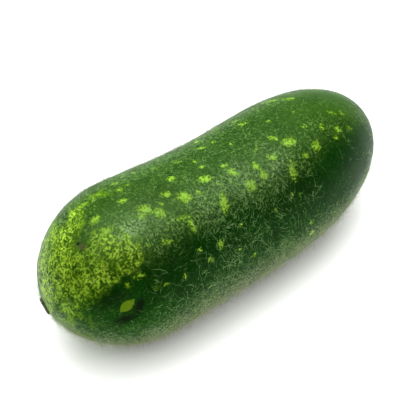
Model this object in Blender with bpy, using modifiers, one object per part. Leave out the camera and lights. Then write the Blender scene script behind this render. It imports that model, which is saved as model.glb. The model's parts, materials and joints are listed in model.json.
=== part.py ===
"""A hairy gourd as picked, lying on its side: the fruit, the dried scar of its flower and the
short stub of its cut stem.

Metres, +Z up. +X runs from the blossom end to the stem end. The origin is the middle of the
small flat on which the fruit has settled.
"""

import math

import bmesh
import bpy
from mathutils import Matrix, Vector

# Fruit: a round body along a bent spine. Stations along it run from 0, at the blossom end,
# to 1, at the stem end.
LENGTH = 0.180
WAIST_RADIUS = 0.0339
BLOSSOM_BULGE = 0.00205
BLOSSOM_BULGE_AT = 0.18
STEM_BULGE = 0.00065
STEM_BULGE_AT = 0.75
BULGE_REACH = 0.22

# Each end rounds off over its own length. A power of 2 gives an ellipse, and more is blunter.
BLOSSOM_CAP = 0.0415
BLOSSOM_CAP_POWER = 2.0
STEM_CAP = 0.081
STEM_CAP_POWER = 2.6

# Spine: a sideways bow with a slight S in it, and ends that turn off it.
BOW = 0.00615
S_BEND = 0.0054
TURN_REACH = 0.30
BLOSSOM_DROOP = 0.0072
BLOSSOM_SWING = 0.0079
STEM_DROOP = 0.004

# The underside is flattened where it lies, and lifts a little towards both ends.
SETTLE = 0.0008
END_LIFT = 0.0015

# Faint long lobes of the skin: (how many round the fruit, height, turn, twist along it).
LOBES = (
    (3, 0.00022, 0.6, 1.1),
    (5, 0.00016, 2.3, -0.8),
)

# Seats for the scar and the stem, and the hollow round the stem.
SCAR_SEAT_RADIUS = 0.0044
STEM_SEAT_RADIUS = 0.0056
HOLLOW_DEPTH = 0.0025
HOLLOW_RADIUS = 0.013
JOINT_GAP = 0.0003

# Scar: a low dried button with a raised rim round a dished middle.
SCAR_RADIUS = 0.0040
SCAR_RIM_HEIGHT = 0.0010
SCAR_DISH = 0.0004
SCAR_STEPS = 24

# Stem: a five-angled stub, cut off square.
STEM_ANGLES = 5
STEM_RADIUS = 0.0044
STEM_RIDGE = 0.08
STEM_SEGMENTS = 30
# (height over the base, width as a share of the stem's own)
STEM_STATIONS = (
    (0.0, 1.04),
    (0.0012, 1.07),
    (0.0028, 0.98),
    (0.0048, 0.94),
    (0.0066, 0.96),
    (0.0071, 0.90),
)
STEM_LEAN = 0.0006

# Fineness of the fruit's mesh.
AROUND = 60
ALONG = 46
# A share of one segment, so that no edge runs through the origin.
PHASE = 0.3

SKIN_GREEN = (0.045, 0.130, 0.018, 1.0)
SCAR_BROWN = (0.050, 0.042, 0.022, 1.0)
STEM_GREEN = (0.220, 0.300, 0.110, 1.0)


def bump(station, middle):
    return math.exp(-(((station - middle) / BULGE_REACH) ** 2))


def body_radius(station):
    """Half the fruit's thickness, before its ends round off."""
    near = BLOSSOM_BULGE * bump(station, BLOSSOM_BULGE_AT)
    far = STEM_BULGE * bump(station, STEM_BULGE_AT)
    return WAIST_RADIUS + near + far


def cap(distance, length, power):
    """How far an end has opened, from 0 at its tip to 1 where the body begins."""
    left = max(0.0, 1.0 - distance / length)
    return (1.0 - left**power) ** (1.0 / power)


def fruit_radius(station):
    from_blossom = cap(station * LENGTH, BLOSSOM_CAP, BLOSSOM_CAP_POWER)
    from_stem = cap((1.0 - station) * LENGTH, STEM_CAP, STEM_CAP_POWER)
    return body_radius(station) * from_blossom * from_stem


def turn(distance_share):
    """An end's turn off the spine: nothing at TURN_REACH from the tip, and all of it at the tip."""
    return max(0.0, 1.0 - distance_share / TURN_REACH) ** 2


def spine(station):
    side = 2.0 * station - 1.0
    blossom = turn(station)
    stem = turn(1.0 - station)
    rest_height = body_radius(station) - SETTLE + END_LIFT * side**2
    return Vector(
        (
            side * LENGTH / 2.0,
            BOW * side**2 + S_BEND * side**3 + BLOSSOM_SWING * blossom,
            rest_height - BLOSSOM_DROOP * blossom - STEM_DROOP * stem,
        )
    )


def spine_direction(station, step=0.002):
    before = spine(max(0.0, station - step))
    after = spine(min(1.0, station + step))
    return (after - before).normalized()


def cross_axes(station):
    """(level, upward) unit vectors square to the spine."""
    along = spine_direction(station)
    level = Vector((0.0, 0.0, 1.0)).cross(along).normalized()
    return level, along.cross(level)


def station_of_radius(radius, low, high):
    """The station between low and high where the fruit has this radius. It is thinner at low."""
    for _ in range(50):
        middle = (low + high) / 2.0
        if fruit_radius(middle) < radius:
            low = middle
        else:
            high = middle
    return high


SCAR_STATION = station_of_radius(SCAR_SEAT_RADIUS, 0.0, 0.2)
STEM_STATION = station_of_radius(STEM_SEAT_RADIUS, 1.0, 0.8)


def lobe_height(station, angle):
    """The lobes fade out towards both ends."""
    fade = math.sin(math.pi * station)
    total = 0.0
    for count, height, start, twist in LOBES:
        total += height * math.cos(count * angle + start + twist * station)
    return fade * total


def hollow(radius):
    """How far the stem end is drawn in: all of HOLLOW_DEPTH on the seat, and none past the rim."""
    outward = (radius - STEM_SEAT_RADIUS) / (HOLLOW_RADIUS - STEM_SEAT_RADIUS)
    share = min(1.0, max(0.0, outward))
    return HOLLOW_DEPTH * (1.0 - share**2) ** 2


def skin_point(station, radius, angle):
    """A point of the skin. Nothing lies below the surface that the fruit rests on."""
    level, upward = cross_axes(station)
    out = radius + lobe_height(station, angle) * radius / body_radius(station)
    place = spine(station) + out * (math.cos(angle) * level + math.sin(angle) * upward)
    if station > 0.5:
        place -= hollow(radius) * spine_direction(station)
    place.z = max(0.0, place.z)
    return place


def ring_station(ring):
    """Rings crowd towards both ends, where the skin turns most."""
    share = (ring - 1) / (ALONG - 2)
    eased = (1.0 - math.cos(math.pi * share)) / 2.0
    return SCAR_STATION + (STEM_STATION - SCAR_STATION) * eased


def finish(name, color, roughness):
    """A plain Principled material."""
    material = bpy.data.materials.new(name)
    material.use_nodes = True
    shader = material.node_tree.nodes["Principled BSDF"]
    shader.inputs["Base Color"].default_value = color
    shader.inputs["Roughness"].default_value = roughness
    shader.inputs["Metallic"].default_value = 0.0
    material.diffuse_color = color
    return material


def new_object(name, mesh, material, collection):
    thing = bpy.data.objects.new(name, mesh)
    mesh.materials.append(material)
    mesh.shade_smooth()
    collection.objects.link(thing)
    return thing


def make_gourd(collection):
    """The fruit: a sphere whose rings are laid along the spine."""
    shape = bmesh.new()
    bmesh.ops.create_uvsphere(shape, u_segments=AROUND, v_segments=ALONG, radius=1.0)
    for vertex in shape.verts:
        polar = math.acos(max(-1.0, min(1.0, vertex.co.z)))
        ring = round(ALONG * polar / math.pi)
        angle = math.atan2(vertex.co.y, vertex.co.x) + PHASE * 2.0 * math.pi / AROUND
        if ring == 0:
            vertex.co = skin_point(SCAR_STATION, 0.0, 0.0)
        elif ring == ALONG:
            vertex.co = skin_point(STEM_STATION, 0.0, 0.0)
        else:
            station = ring_station(ring)
            vertex.co = skin_point(station, fruit_radius(station), angle)
    shape.normal_update()
    bmesh.ops.recalc_face_normals(shape, faces=shape.faces)
    mesh = bpy.data.meshes.new("gourd")
    shape.to_mesh(mesh)
    shape.free()
    return new_object("gourd", mesh, finish("gourd_skin", SKIN_GREEN, 0.5), collection)


def seat_matrix(station, outward, sunk):
    """A frame on an end's seat: its Z points out of the fruit, and its X is upward."""
    out = outward * spine_direction(station)
    level, upward = cross_axes(station)
    side = out.cross(upward)
    turned = Matrix((upward, side, out)).transposed().to_4x4()
    return Matrix.Translation(spine(station) + out * (JOINT_GAP - sunk)) @ turned


def make_scar(collection):
    """The dried flower scar, turned from its half outline, top to bottom."""
    outline = (
        (0.0, SCAR_RIM_HEIGHT - SCAR_DISH),
        (0.40 * SCAR_RADIUS, SCAR_RIM_HEIGHT - 0.8 * SCAR_DISH),
        (0.72 * SCAR_RADIUS, SCAR_RIM_HEIGHT),
        (0.92 * SCAR_RADIUS, 0.80 * SCAR_RIM_HEIGHT),
        (SCAR_RADIUS, 0.40 * SCAR_RIM_HEIGHT),
        (0.95 * SCAR_RADIUS, 0.0),
        (0.0, 0.0),
    )
    points = [(out, 0.0, height) for out, height in outline]
    edges = [(start, start + 1) for start in range(len(points) - 1)]
    mesh = bpy.data.meshes.new("blossom_scar")
    mesh.from_pydata(points, edges, [])
    scar = new_object("blossom_scar", mesh, finish("dried_scar", SCAR_BROWN, 0.85), collection)
    turned = scar.modifiers.new("Turned", "SCREW")
    turned.axis = "Z"
    turned.steps = SCAR_STEPS
    turned.render_steps = SCAR_STEPS
    turned.use_merge_vertices = True
    turned.merge_threshold = 0.00005
    scar.matrix_world = seat_matrix(SCAR_STATION, -1.0, 0.0)
    return scar


def make_stem(collection):
    """The stem stub: a five-angled outline drawn out in steps."""
    shape = bmesh.new()
    made = bmesh.ops.create_circle(shape, cap_ends=True, segments=STEM_SEGMENTS, radius=1.0)
    for vertex in made["verts"]:
        angle = math.atan2(vertex.co.y, vertex.co.x)
        reach = STEM_RADIUS * (1.0 + STEM_RIDGE * math.cos(STEM_ANGLES * angle))
        vertex.co *= reach * STEM_STATIONS[0][1]
    top = shape.faces[:]
    for (low, narrow), (high, wide) in zip(STEM_STATIONS, STEM_STATIONS[1:]):
        drawn = bmesh.ops.extrude_face_region(shape, geom=top)["geom"]
        if low > 0.0:
            bmesh.ops.delete(shape, geom=top, context="FACES_ONLY")
        corners = [item for item in drawn if isinstance(item, bmesh.types.BMVert)]
        top = [item for item in drawn if isinstance(item, bmesh.types.BMFace)]
        middle = sum((corner.co for corner in corners), Vector()) / len(corners)
        lean = Vector((STEM_LEAN * (high - low) / STEM_STATIONS[-1][0], 0.0, high - low))
        for corner in corners:
            corner.co = middle + (corner.co - middle) * (wide / narrow) + lean
    shape.normal_update()
    bmesh.ops.recalc_face_normals(shape, faces=shape.faces)
    mesh = bpy.data.meshes.new("stem_stub")
    shape.to_mesh(mesh)
    shape.free()
    stem = new_object("stem_stub", mesh, finish("cut_stem", STEM_GREEN, 0.6), collection)
    stem.matrix_world = seat_matrix(STEM_STATION, 1.0, HOLLOW_DEPTH)
    return stem


def main():
    for thing in list(bpy.data.objects):
        bpy.data.objects.remove(thing)
    collection = bpy.data.collections.new("hairy_gourd")
    bpy.context.scene.collection.children.link(collection)
    fruit = make_gourd(collection)
    for piece in (make_scar(collection), make_stem(collection)):
        piece.parent = fruit


main()
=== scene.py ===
"""The looks of a hairy gourd: its flecked and mottled rind, the dried flower scar, the cut stem
and the pale hairs that stand all over it, on a plain white table under a soft light.

Metres, +Z up, in the solid model's frame: +X runs from the blossom end to the stem end.
"""

import json
import math

import bmesh
import bpy
import numpy as np
from mathutils import Euler, Matrix, Vector
from mathutils.bvhtree import BVHTree

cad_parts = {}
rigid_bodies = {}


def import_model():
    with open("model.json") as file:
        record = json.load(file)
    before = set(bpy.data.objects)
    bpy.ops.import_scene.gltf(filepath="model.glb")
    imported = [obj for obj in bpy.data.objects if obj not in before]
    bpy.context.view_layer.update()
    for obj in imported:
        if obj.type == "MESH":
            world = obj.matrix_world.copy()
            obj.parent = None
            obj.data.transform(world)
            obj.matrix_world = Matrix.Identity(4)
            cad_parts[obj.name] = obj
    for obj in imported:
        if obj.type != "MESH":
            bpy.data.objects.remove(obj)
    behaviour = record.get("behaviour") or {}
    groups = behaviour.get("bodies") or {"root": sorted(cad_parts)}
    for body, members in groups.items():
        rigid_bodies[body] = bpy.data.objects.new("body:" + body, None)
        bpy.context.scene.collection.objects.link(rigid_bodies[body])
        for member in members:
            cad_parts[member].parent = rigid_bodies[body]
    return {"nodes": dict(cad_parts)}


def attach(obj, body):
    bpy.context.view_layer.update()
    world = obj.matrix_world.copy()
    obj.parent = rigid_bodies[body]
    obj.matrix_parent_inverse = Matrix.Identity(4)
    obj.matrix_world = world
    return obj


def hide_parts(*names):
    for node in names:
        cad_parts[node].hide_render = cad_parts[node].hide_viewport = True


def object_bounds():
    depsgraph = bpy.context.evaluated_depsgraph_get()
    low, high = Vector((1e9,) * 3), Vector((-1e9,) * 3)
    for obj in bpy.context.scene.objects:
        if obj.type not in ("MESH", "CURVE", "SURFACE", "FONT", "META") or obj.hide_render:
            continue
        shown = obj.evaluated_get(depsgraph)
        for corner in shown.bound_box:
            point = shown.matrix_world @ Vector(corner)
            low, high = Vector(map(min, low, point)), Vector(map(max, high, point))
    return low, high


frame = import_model()
CAD_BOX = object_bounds()

MM = 0.001

# The picture is PICTURE pixels wide and high, and its pixels are counted from the top left.
PICTURE = 400
# Camera: how it stands to a point over the middle of the fruit's resting place.
CAMERA_AIM = Vector((0.0, 0.0, 0.035))
CAMERA_DISTANCE = 0.60
CAMERA_ELEVATION = math.radians(43.0)
CAMERA_YAW = math.radians(40.97)
CAMERA_FOCAL_PIXELS = 1346.85
CAMERA_SENSOR = 36.0
# Where that point shows in the picture.
AIM_PIXEL = (220.2, 209.5)
# Level ways: from the camera over the fruit, and to the camera's right.
AWAY = Vector((math.sin(CAMERA_YAW), math.cos(CAMERA_YAW), 0.0))
RIGHT = Vector((math.cos(CAMERA_YAW), -math.sin(CAMERA_YAW), 0.0))

# Ends of the fruit: the middle of each seat, and the way it faces.
BLOSSOM_END = Vector((-0.08967, 0.00857, 0.02854))
BLOSSOM_WAY = Vector((-0.93765, 0.23277, -0.25812))
STEM_END = Vector((0.08971, 0.01146, 0.03081))
STEM_WAY = Vector((0.94718, 0.29826, -0.11785))

# Scar: a dried corky disc with a raised ring, as (share of its radius, height in mm) from the
# middle of its face, over the edge, to the middle of its underside.
SCAR_RADIUS = 4.0 * MM
SCAR_PROFILE = (
    (0.00, 0.55), (0.12, 0.62), (0.20, 0.42), (0.34, 0.50), (0.48, 0.72), (0.60, 0.95), (0.70, 1.12),
    (0.80, 1.14), (0.90, 1.00), (0.97, 0.74), (1.00, 0.40), (0.98, 0.00), (0.94, -0.45), (0.00, -0.60),
)
SCAR_SEGMENTS = 72
# Its outline bulges in waves: (how many round it, share of the radius). Past SCAR_RIM it is ragged too.
SCAR_WAVES = ((3, 0.030), (7, 0.022))
SCAR_INSET = 0.03
SCAR_RIM, SCAR_RAGGED = 0.85, 0.018
# Its face is folded, crinkled and a little askew.
SCAR_FOLDS, SCAR_FOLD_HEIGHT = 11, 0.10 * MM
SCAR_CRINKLE_HEIGHT = 0.05 * MM
SCAR_TILT = 0.10 * MM
SCAR_SEED = 21

# Stem: (distance past the seat, radius) of its stations in mm, up to the cut.
STEM_STATIONS = (
    (-2.60, 4.90), (-1.90, 4.75), (-1.20, 4.62), (-0.50, 4.42), (0.30, 4.26), (1.20, 4.17),
    (2.20, 4.13), (3.20, 4.16), (4.10, 4.24), (4.60, 4.22), (4.86, 4.08),
)
STEM_SEGMENTS = 80
STEM_ANGLES, STEM_RIDGE, STEM_FIBRE = 5, 0.085, 0.012
# The cut: shares of the radius, its slant, which starts at a station, its roughness and its dish.
STEM_CUT_RINGS = (0.94, 0.82, 0.68, 0.52, 0.36, 0.20, 0.09)
STEM_SLANT, STEM_SLANT_FROM = 0.18 * MM, 3.5
STEM_CUT_ROUGH = 0.04 * MM
STEM_CUT_DISH = 0.35 * MM
STEM_SEED = 23

TABLE_RADIUS = 0.95
TABLE_SIDES = 96

# Light: soft boxes turned to the fruit, as (name, height, how far behind the fruit, width, depth,
# watts, what they light, the kind of light that they don't give). The gloss light only shows as
# a reflection. The hairs have two of their own, because they shine in light from all round.
SOFT_BOXES = (
    ("back_light", 0.97, 0.87, 0.8, 0.8, 30.0, "fruit", "glossy"),
    ("overhead_light", 0.95, 0.55, 1.3, 1.3, 14.0, "table", "glossy"),
    ("front_light", 0.9, -0.35, 1.6, 1.6, 22.5, "table", None),
    ("room_light", 3.0, 0.3, 5.0, 5.0, 40.0, "table", "glossy"),
    ("gloss_light", 1.0, 0.0, 1.6, 0.92, 115.0, "fruit", "diffuse"),
    ("hair_light", 0.9, -0.6, 0.6, 0.6, 7.0, "hairs", None),
    ("low_hair_light", 0.16, -0.9, 0.9, 0.3, 4.0, "hairs", None),
)
# The room is bright behind the fruit and to its left, and dark on the camera's side.
ROOM_DARK, ROOM_BRIGHT = 0.013, 0.585
ROOM_DARK_AT, ROOM_BRIGHT_AT = -0.2, 0.8
ROOM_LEFT = 0.55

# Skin: how often the solid's faces are split, and the height and size of its slight unevenness.
SKIN_LEVELS = 2
SKIN_WAVE_HEIGHT, SKIN_WAVE_SIZE = 0.35 * MM, 14 * MM
SKIN_PIMPLE_HEIGHT, SKIN_PIMPLE_SIZE = 0.10 * MM, 2.4 * MM
# Points of the solid this near are one, and triangles this flat and square are paired.
MERGE_REACH = 0.002 * MM
PAIR_FLAT, PAIR_SQUARE = math.radians(12), math.radians(60)

# Hairs: (name, where they stand thick, how many to a square metre, shortest and longest in mm,
# least and most lean in degrees, rings past the root, then the root's width, the bend and the
# kink as shares of the length, seed)
HAIR_PIECES = (
    ("fuzz", "down", 330000, 0.8, 1.9, 30, 80, 1, 0.050, 0.22, 0.10, 3),
    ("fine_hairs", "down", 190000, 1.6, 3.2, 40, 84, 2, 0.026, 0.34, 0.16, 5),
    ("stout_hairs", "bristle", 250000, 1.8, 4.2, 40, 84, 3, 0.021, 0.30, 0.11, 7),
    ("long_hairs", "bristle", 60000, 4.0, 7.2, 62, 86, 6, 0.013, 0.32, 0.08, 6),
)
HAIR_SIDES = 3
HAIR_VARIANTS = 10
# How much a hair narrows to its tip, and how much of the kink its rings take.
HAIR_TAPER, HAIR_SWAY = 0.55, 0.6
# How wide the places are where they stand closer or further apart, and how much so.
HAIR_CLUMP = 5 * MM
CLUMP_LEAST, CLUMP_MOST = 0.35, 1.65
# How far the hairs may stand past the solid's box, as a share of its sides.
HAIR_REACH = 0.028
# Hairs rooted lower than this are left out: the table holds them flat, and the rest stay this
# far above it.
LOWEST_ROOT = 0.8 * MM
LOWEST_HAIR = 0.1 * MM

# Flecks that the picture shows: (x, y) pixel, length and width in mm, turn of the length from
# the picture's level in degrees, strength from 0 to 1.
FLECKS_SEEN = (
    (178, 162, 3.0, 1.6, 10, 0.5), (154, 168, 3.2, 1.4, 10, 0.45), (134, 173, 2.6, 1.6, 0, 0.4),
    (120, 191, 3.0, 2.0, 10, 0.45), (161, 204, 2.6, 2.0, 60, 0.4), (180, 219, 3.4, 2.6, 0, 0.4),
    (224, 166, 2.0, 1.8, 0, 0.9), (219, 184, 2.6, 1.2, 140, 0.5), (254, 255, 3.0, 2.0, 0, 0.4),
    (240, 250, 2.2, 1.8, 0, 0.35), (289, 142, 5.4, 3.6, 20, 0.85), (316, 146, 4.2, 3.4, 80, 0.8),
    (272, 157, 3.4, 2.8, 0, 0.8), (305, 155, 3.0, 2.2, 0, 0.55), (256, 166, 3.6, 2.6, 135, 0.8),
    (264, 175, 3.2, 3.0, 0, 1.0), (251, 185, 4.4, 4.0, 90, 1.0), (233, 172, 3.6, 2.6, 150, 1.0),
    (205, 179, 5.4, 2.8, 20, 1.0), (273, 138, 2.8, 2.0, 160, 1.0), (268, 121, 2.8, 1.6, 10, 0.35),
    (294, 112, 2.6, 1.2, 80, 0.5), (304, 126, 2.0, 1.8, 0, 0.6), (322, 127, 4.0, 1.8, 95, 0.5),
    (338, 130, 3.6, 3.0, 90, 0.5), (336, 137, 4.0, 2.0, 20, 0.35), (332, 113, 5.0, 3.0, 10, 0.25),
    (341, 113, 4.4, 3.0, 0, 0.22), (349, 128, 5.0, 2.0, 0, 0.2), (288, 99, 6.0, 3.4, 10, 0.3),
    (272, 101, 5.0, 2.4, 15, 0.5), (293, 171, 7.4, 2.4, 100, 1.0), (300, 195, 2.6, 2.4, 0, 0.25),
    (292, 195, 2.8, 1.8, 90, 0.3), (276, 210, 2.6, 2.4, 0, 0.28), (241, 225, 2.4, 1.8, 0, 0.28),
    (221, 244, 3.4, 2.4, 80, 0.75), (211, 260, 2.6, 2.4, 0, 0.5), (200, 250, 2.8, 2.2, 60, 0.38),
    (224, 203, 7.2, 3.0, 100, 1.0), (191, 223, 7.2, 2.2, 120, 0.85), (184, 197, 4.8, 4.2, 0, 1.0),
    (198, 193, 2.4, 2.0, 90, 0.7), (195, 162, 2.6, 1.4, 10, 0.8), (202, 167, 2.6, 1.4, 30, 0.6),
    (202, 148, 3.2, 1.6, 0, 0.65), (212, 142, 3.0, 2.6, 0, 0.42), (197, 142, 3.6, 2.0, 0, 0.5),
    (242, 124, 4.6, 2.0, 5, 0.4), (235, 121, 3.0, 1.8, 0, 0.45), (230, 144, 1.8, 1.4, 0, 0.5),
    (255, 149, 1.8, 1.6, 0, 0.5), (185, 276, 2.4, 2.2, 0, 0.3), (312, 233, 3.6, 2.4, 20, 0.35),
    (312, 222, 2.8, 1.8, 60, 0.6), (95, 220, 3.8, 3.0, 35, 1.0), (122, 201, 3.0, 2.2, 20, 1.0),
    (105, 232, 3.8, 3.4, 60, 0.95), (119, 189, 3.6, 2.4, 30, 0.25), (127, 185, 3.2, 2.2, 20, 0.2),
    (114, 184, 2.8, 1.8, 10, 0.6), (145, 210, 4.8, 4.0, 10, 1.0), (160, 213, 4.4, 3.2, 150, 0.8),
    (166, 194, 3.4, 2.8, 30, 0.65), (171, 179, 3.4, 2.8, 20, 0.55), (167, 242, 5.4, 3.0, 15, 0.35),
    (148, 246, 2.0, 2.4, 0, 0.4), (140, 217, 3.0, 2.4, 0, 0.7), (139, 276, 4.6, 2.8, 0, 0.42),
    (128, 285, 4.0, 3.0, 0, 0.3), (116, 281, 2.0, 2.0, 0, 0.42), (166, 284, 1.8, 2.2, 0, 0.3),
)
# They are drawn this much larger, and fade out this far from the middle, where 1 is their edge.
FLECK_GROWTH = 1.15
FLECK_EDGE = 1.7
# Weak ones are lifted by this power.
FLECK_LIFT = 0.6
# Flecks at random for the sides that the picture doesn't show: how many are tried, and the
# ranges of their lengths and widths in mm and of their strengths. A try that faces the camera
# by more than FLECK_HIDDEN is left out.
FLECKS_MORE = 260
FLECK_LENGTHS, FLECK_WIDTHS, FLECK_STRENGTHS = (1.6, 5.0), (1.4, 3.4), (0.4, 1.0)
FLECK_HIDDEN = 0.12
FLECK_SEED = 11

# Pale mottle: how strong it is round the blossom end, and where it ends, in mm from there. Then
# soft patches as (x, y) pixel, radius in mm, strength. A negative strength clears it. Where it
# stacks past 0.9, up to MOTTLE_MOST, the net is painted paler still: painted highlight where the
# sheen lies at the blossom end.
MOTTLE_STRENGTH, MOTTLE_FROM, MOTTLE_TO, MOTTLE_MOST = 0.45, 16, 46, 1.6
MOTTLE_NARROW = 1.6
MOTTLE_PATCHES = (
    (112, 248, 12, 0.95), (126, 258, 8, 0.60), (104, 266, 10, 0.45), (74, 272, 16, 0.55),
    (57, 246, 11, 0.50), (74, 216, 8, 0.34), (92, 199, 9, 0.30), (105, 191, 6, 0.14),
    (82, 328, 10, -0.40), (84, 240, 6, -0.70), (94, 217, 7, -0.40), (106, 212, 8, -0.60),
    (124, 303, 10, -0.80), (134, 287, 7, -0.45), (150, 232, 7, -0.30), (120, 338, 12, -0.60),
    (152, 332, 14, -0.70), (42, 262, 8, 0.55), (46, 286, 7, 0.40), (92, 308, 9, -0.14),
    (66, 312, 9, 0.18), (84, 326, 9, 0.20),
)

# Round the fruit, from its underside (-90 degrees) over its flank (0) to its top (90): how far
# the green turns from the flank's deep one to the top's, and how strong the pale grain is. The
# flank's deep green is painted shade, where the light falls weakest, and the top's green is painted light.
SHADE_TONE_ANGLES = (-90, -30, 0, 15, 36, 42, 48, 55, 90)
SHADE_TONE_SHARES = (0.4, 0.3, 0.15, 0.0, 0.0, 0.25, 0.7, 1.0, 1.0)
# Waves of the border between the two: (degrees, size in mm, phase).
SHADE_TONE_WAVES = ((2.5, 11, 0.0), (2.0, 4.7, 1.0))
# The grain is strongest from 48 to 68 degrees, along the band where the sheen lies, and stronger low on the
# fruit than on the flank: there its pale specks are partly painted highlight and painted light from the white
# table.
GRAIN_AND_SHEEN_ANGLES = (-90, -30, 5, 20, 38, 48, 58, 68, 76, 90)
GRAIN_AND_SHEEN_SHARES = (0.5, 0.45, 0.3, 0.1, 0.15, 0.85, 1.0, 0.75, 0.5, 0.45)
# The grain fades towards the stem.
GRAIN_FADE_FROM, GRAIN_FADE_TO, GRAIN_FADE_SHARE = 25 * MM, 65 * MM, 0.35

# Low on the fruit the hairs and the bloom are painted paler and greyer, as painted light from the
# white table: the heights between which that ends.
PAINTED_BOUNCE_FROM, PAINTED_BOUNCE_TO = 17 * MM, 42 * MM

# Ash-grey bloom: round the fruit as above, and patches (x, y) pixel, radius in mm, strength.
# It is partly painted light: its patches along the band of the sheen and the left outline are
# painted highlight, and low on the fruit it stands in for the light of the white table.
BLOOM_AND_BOUNCE_ANGLES = (-90, -55, -40, -25, -8, 8)
BLOOM_AND_BOUNCE_SHARES = (0.3, 0.4, 0.6, 0.6, 0.35, 0.0)
# The side away from the camera has less of it: where that starts and ends, by the skin's way.
BLOOM_FAR_FROM, BLOOM_FAR_TO, BLOOM_FAR_SHARE = -0.2, 0.4, 0.4
SHEEN_BLOOM_PATCHES = (
    (126, 230, 5, 0.60), (140, 226, 5, 0.30), (157, 219, 6, 0.15), (205, 203, 7, 0.30),
    (222, 187, 5, 0.25), (243, 177, 7, 0.35), (276, 164, 7, 0.3), (44, 288, 8, 0.7),
    (42, 258, 7, 0.35), (45, 236, 6, 0.25), (110, 336, 13, -0.50), (146, 322, 11, -0.35),
    (78, 322, 10, -0.35),
)

# How thick the hairs stand: round the fruit as above, and patches (x, y) pixel, radius in mm,
# share more or less.
HAIR_ANGLES = (-90, -35, -10, 10, 25, 45, 60, 75, 90)
DOWN_SHARES = (1.5, 1.9, 1.5, 0.6, 0.25, 0.5, 0.9, 0.8, 0.7)
BRISTLE_SHARES = (1.2, 1.5, 1.1, 0.9, 0.85, 0.85, 0.6, 0.35, 0.3)
HAIR_LEAST, HAIR_MOST = 0.1, 3.0
# Fewer stand towards the stem, and more round the scar and the stem.
STEM_THIN_FROM, STEM_THIN_TO, STEM_THIN_SHARE = 50 * MM, 78 * MM, 0.45
HAIR_COLLAR, HAIR_COLLAR_MORE = 8 * MM, 0.9
HAIR_PATCHES = (
    (98, 262, 26, -1.3), (49, 229, 1.8, 3.0), (168, 250, 12, -0.6), (150, 250, 8, -0.5),
    (137, 307, 7, -1.6), (124, 318, 7, -1.6), (330, 178, 22, -0.85), (348, 140, 14, -0.5),
    (262, 212, 18, 0.5), (156, 284, 8, 0.7), (100, 228, 12, -0.4), (112, 305, 9, -0.5),
    (224, 226, 10, 0.3), (215, 200, 12, 0.2), (160, 190, 14, -0.4), (262, 120, 16, -0.3),
    (320, 115, 16, -0.2), (80, 200, 9, 1.3), (108, 182, 9, 1.3), (148, 168, 9, 1.3),
    (186, 148, 9, 1.1),
)
# How edge-on the skin is to the camera where its hairs stand against the light, and how far
# their colour is darkened there: painted shade.
AGAINST_LIGHT_EDGE, AGAINST_LIGHT_DIM = 0.28, 0.85

# Colours as the screen shows them: red, green and blue from 0 to 255. In pairs, the first is the
# one for the lower end of what drives the pair.
SHADED_FLANK_GREENS = (1, 57, 0), (11, 70, 2)
LIT_TOP_GREENS = (33, 71, 5), (47, 85, 11)
BLOTCH_GREEN = (10, 46, 1)
PIT_GREEN = (8, 38, 3)
SPECK_GREEN = (132, 180, 80)
HOLLOW_GREEN = (34, 82, 2)
PALE_GREEN = (114, 160, 8)
NET_LIMES = (204, 250, 82), (204, 250, 76)
# The flecks' lime is painted lighter for the flank, where the light falls weaker.
FLECK_LIMES = (198, 255, 72), (156, 208, 60)
PAINTED_BOUNCE_ASHES = (174, 170, 134), (178, 180, 112)
HIGH_SHEEN_ASH = (178, 206, 152)
SHADE_GREEN = (1, 15, 1)
DROP_GREENS = (80, 120, 4), (124, 156, 18)
BLEMISH_BROWN = (96, 88, 50)
PINHOLE_DARK = (12, 16, 8)
GLOSS_TINT = (190, 255, 150)
SOFT_HAIR = (36, 94, 16), (88, 146, 52)
BRISTLY_HAIR = (98, 158, 64), (182, 222, 140)
PAINTED_BOUNCE_HAIR = (164, 168, 138)
DIM_HAIR = (44, 42, 28)
TABLE_WHITES = (236, 236, 236), (240, 240, 239)

# Drop-shaped mark on the skin: the pixel where it shows, length, width and turn.
DROP_MARK = (127.5, 305.5), 8.4 * MM, 4.6 * MM, 42
# Its outline: how full it is (more is blunter), and how much wider its lower half is.
DROP_FULL, DROP_BELLY = 1.8, 0.25
# Shallow dent beside it.
DENT_PIXEL = (131, 308)
DENT_RADIUS = 11 * MM
DENT_DEPTH = 0.9 * MM
# Oval marks: pixel, length and width in mm, turn, how ragged the edge is, size of its teeth in
# mm, where it fades from and to (1 is the edge), strength, colour. The first three darken the dent
# round the drop-shaped mark: painted shade. The next two are darker patches on the top, then the
# brown blemish and the pinhole in it.
OVAL_MARKS = (
    ((139.5, 306), 8.5, 4.8, 80, 0.8, 1.5, 0.3, 1.3, 0.95, SHADE_GREEN),
    ((126, 319), 10.0, 4.4, 15, 0.8, 1.5, 0.3, 1.3, 0.9, SHADE_GREEN),
    ((112, 299), 17.0, 9.0, 25, 0.8, 1.5, 0.3, 1.3, 0.6, SHADE_GREEN),
    ((148, 200), 40.0, 24.0, 20, 0.8, 1.5, 0.3, 1.3, 0.22, SHADE_GREEN),
    ((97, 228), 11.0, 14.0, 20, 0.8, 1.5, 0.3, 1.3, 0.22, SHADE_GREEN),
    ((82.5, 247.0), 4.4, 2.4, -20, 1.2, 0.8, 0.6, 1.3, 0.75, BLEMISH_BROWN),
    ((78.0, 244.0), 1.3, 1.3, 0, 0.5, 0.5, 0.8, 1.2, 1.0, PINHOLE_DARK),
)


def camera_turn():
    """The camera's rotation, and its place."""
    toward = Vector(
        (
            math.sin(CAMERA_YAW) * math.cos(CAMERA_ELEVATION),
            math.cos(CAMERA_YAW) * math.cos(CAMERA_ELEVATION),
            -math.sin(CAMERA_ELEVATION),
        )
    )
    level = Matrix((RIGHT, RIGHT.cross(toward), -toward)).transposed()
    pan, tilt = (math.atan((pixel - PICTURE / 2) / CAMERA_FOCAL_PIXELS) for pixel in AIM_PIXEL)
    return level @ Euler((tilt, pan, 0.0)).to_matrix(), CAMERA_AIM - toward * CAMERA_DISTANCE


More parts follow.
